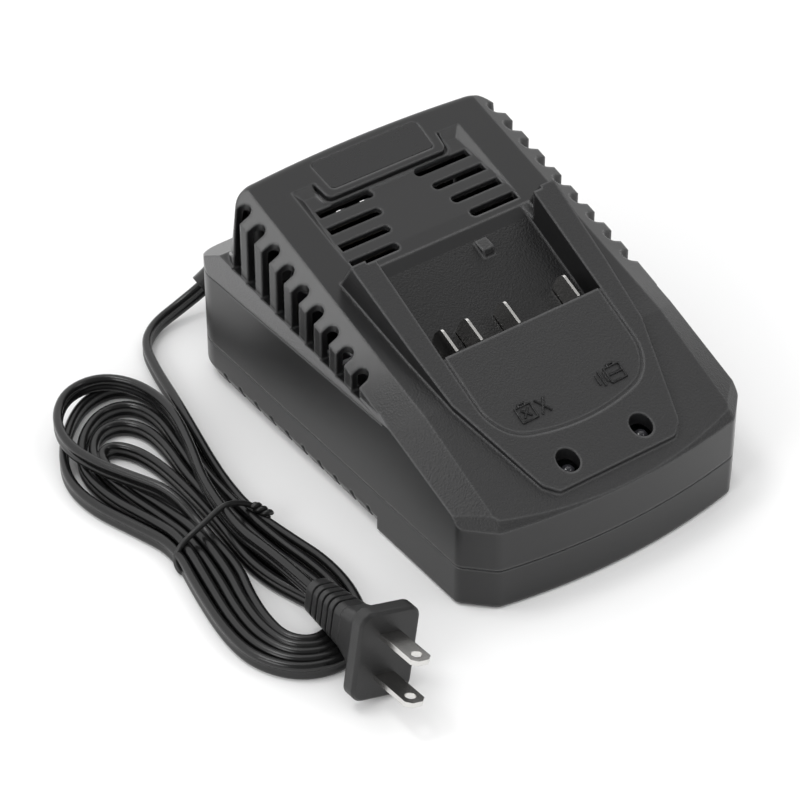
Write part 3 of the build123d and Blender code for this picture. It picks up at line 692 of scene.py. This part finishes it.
# wire tie: a bow over the strands, its foot round the left one and a twist on the right
tie = {
    "thick": 1.7,
    "bow": [
        (-100.6, 65.8, 0.9),
        (-103.6, 62.6, 0.9),
        (-105.8, 63.4, 1.2),
        (-105.2, 67.0, 3.2),
        (-103.0, 67.8, 6.2),
        (-99.4, 67.8, 8.6),
        (-93.4, 68.6, 10.2),
        (-86.6, 70.4, 11.6),
        (-81.0, 70.6, 9.8),
        (-77.2, 69.6, 7.4),
        (-74.6, 68.0, 4.8),
        (-74.4, 67.8, 2.2),
        (-77.4, 68.4, 0.9),
    ],
    "twistFrom": (-77.0, 69.2, 7.6),
    "twistTo": (-74.2, 64.8, 5.4),
    "twistRadius": 0.85,
    "twistTurns": 1.5,
    "twistSteps": 40,
    "endShare": 0.9,
    "endTaper": 0.9,
}
tieLine = smoothLine("cord_tie_line", [place(*spot) for spot in tie["bow"]])
cordTie = grow("cord_tie_wire", lineMesh("cord_tie_run", tieLine), sweep, {
    "Tall": tie["thick"] * mm,
    "Thick": tie["thick"] * mm,
    "Groove": 0.0,
    "Taper": 1.0,
}, "tie_black")
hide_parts("cord_tie")


# the two ends of the tie, twisted round each other
def twistRun(phase):
    start, end = Vector(tie["twistFrom"]), Vector(tie["twistTo"])
    along = (end - start).normalized()
    side = along.cross(Vector((0, 0, 1))).normalized()
    high = side.cross(along)
    points = []
    for step in range(tie["twistSteps"] + 1):
        share = step / tie["twistSteps"]
        angle = phase + 2 * math.pi * tie["twistTurns"] * share
        off = side * math.cos(angle) + high * math.sin(angle)
        points.append(place(*(start + (end - start) * share + off * tie["twistRadius"])))
    return points


for number, phase in enumerate((0.0, math.pi)):
    run = lineMesh("tie_end_run", twistRun(phase))
    grow("cord_tie_end_" + str(number + 1), run, sweep, {
        "Tall": tie["thick"] * tie["endShare"] * mm,
        "Thick": tie["thick"] * tie["endShare"] * mm,
        "Groove": 0.0,
        "Taper": tie["endTaper"],
    }, "tie_black")

tuple(place(*leadPoints[0]))
print("cord and tie made")

# line signs on the island by the lamps, in millimetres from each sign's middle, drawn along
# the slope, which has the height z at the depth at
signs = {
    "wide": 0.62,
    "high": 0.55,
    "sunk": 0.12,
    "shorten": 0.9,
    "slope": 0.468,
    "z": 48.36,
    "at": 34.9,
}
batteryCase = [(-2.6, -2.4), (2.6, -2.4), (2.6, 2.4), (-2.6, 2.4), (-2.6, -2.4)]
batteryKnob = [(-1.1, 2.4), (-1.1, 3.2), (1.1, 3.2), (1.1, 2.4)]
signLines = {
    "sign_fault": ((-15.6, 22.9), [
        batteryCase,
        batteryKnob,
        [(-1.3, -1.3), (1.3, 1.3)],
        [(-1.3, 1.3), (1.3, -1.3)],
    ]),
    "sign_wait": ((-9.8, 22.9), [
        [(-1.6, -2.4), (1.6, 2.4)],
        [(-1.6, 2.4), (1.6, -2.4)],
    ]),
    "sign_charge": ((10.9, 22.6), [
        [(-1.4, -1.6), (-1.4, 1.6)],
        [(0.0, -2.4), (0.0, 2.4)],
        [(1.4, -1.6), (1.4, 1.6)],
    ]),
    "sign_battery": ((15.6, 22.6), [batteryCase, batteryKnob, [(-2.6, 0.0), (2.6, 0.0)]]),
}


def signSpot(x, behind):
    z = signs["z"] + signs["slope"] * (behind - signs["at"]) + signs["high"] / 2 - signs["sunk"]
    return place(x, behind, z)


for name, ((x, behind), strokes) in signLines.items():
    runs = []
    for stroke in strokes:
        runs.append([signSpot(x + a, behind + b * signs["shorten"]) for a, b in stroke])
    sizes = {"Wide": signs["wide"] * mm, "High": signs["high"] * mm}
    grow(name, lineMesh(name, *runs), signShape, sizes, "plate_black")
print("signs made")

# metres and watts, the mirrored sky changes from front to back between the two shades
stage = {
    "paper": (0.90, 0.90, 0.90),
    "paperShade": 0.99,
    "paperScale": 3.0,
    "paperRoughness": 0.9,
    "paperShine": 0.1,
    "paperHalf": 3,
    "sky": (1.0, 1.0, 1.0),
    "skyBack": 1.15,
    "skyFront": 0.25,
    "shadeFrom": -0.13,
    "shadeTo": 0.26,
    "aim": (0, 0, 0.03),
}
lights = {
    "top_light": {"at": (-0.39, 0.32, 1.35), "size": 0.36, "power": 3.4},
    "left_light": {"at": (-1.6, -0.3, 0.9), "size": 0.8, "power": 8.0},
    "edge_light": {"at": (0.63, -0.60, 1.09), "size": 0.34, "power": 1.2},
}


def paperSurface():
    s = Surface("floor_paper")
    darker = shaded(stage["paper"], stage["paperShade"])
    s.give(
        colour=s.blend(s.noise(stage["paperScale"]), stage["paper"], darker),
        roughness=stage["paperRoughness"],
        specular=stage["paperShine"],
    )
    return s.material


half = stage["paperHalf"]
floorMesh = bpy.data.meshes.new("floor")
floorCorners = [(-half, -half, 0), (half, -half, 0), (half, half, 0), (-half, half, 0)]
floorMesh.from_pydata(floorCorners, [], [(0, 1, 2, 3)])
floorMesh.materials.append(paperSurface())
floorObject = bpy.data.objects.new("floor", floorMesh)
scene.collection.objects.link(floorObject)

# the sky is white, and its mirror image dims towards the front
world = bpy.data.worlds.new("studio")
world.use_nodes = True
scene.world = world
sky = Tree(world.node_tree)
background = sky.tree.nodes["Background"]
mirrored = sky.add("ShaderNodeLightPath", output="Is Glossy Ray")
direction = sky.add("ShaderNodeTexCoord", output="Generated")
toBack = direction.part("Y").rise(stage["shadeFrom"], stage["shadeTo"])
mirrorImage = toBack * (stage["skyBack"] - stage["skyFront"]) + stage["skyFront"]
sky.feed(background.inputs["Strength"], mirrored * (mirrorImage - 1.0) + 1.0)
sky.feed(background.inputs["Color"], stage["sky"])

for name, light in lights.items():
    data = bpy.data.lights.new(name, "AREA")
    data.shape = "SQUARE"
    data.size = light["size"]
    data.energy = light["power"]
    lamp = bpy.data.objects.new(name, data)
    scene.collection.objects.link(lamp)
    lamp.location = light["at"]
    aim = Vector(stage["aim"]) - Vector(light["at"])
    lamp.rotation_euler = aim.to_track_quat("-Z", "Y").to_euler()
print("stage and lights set")
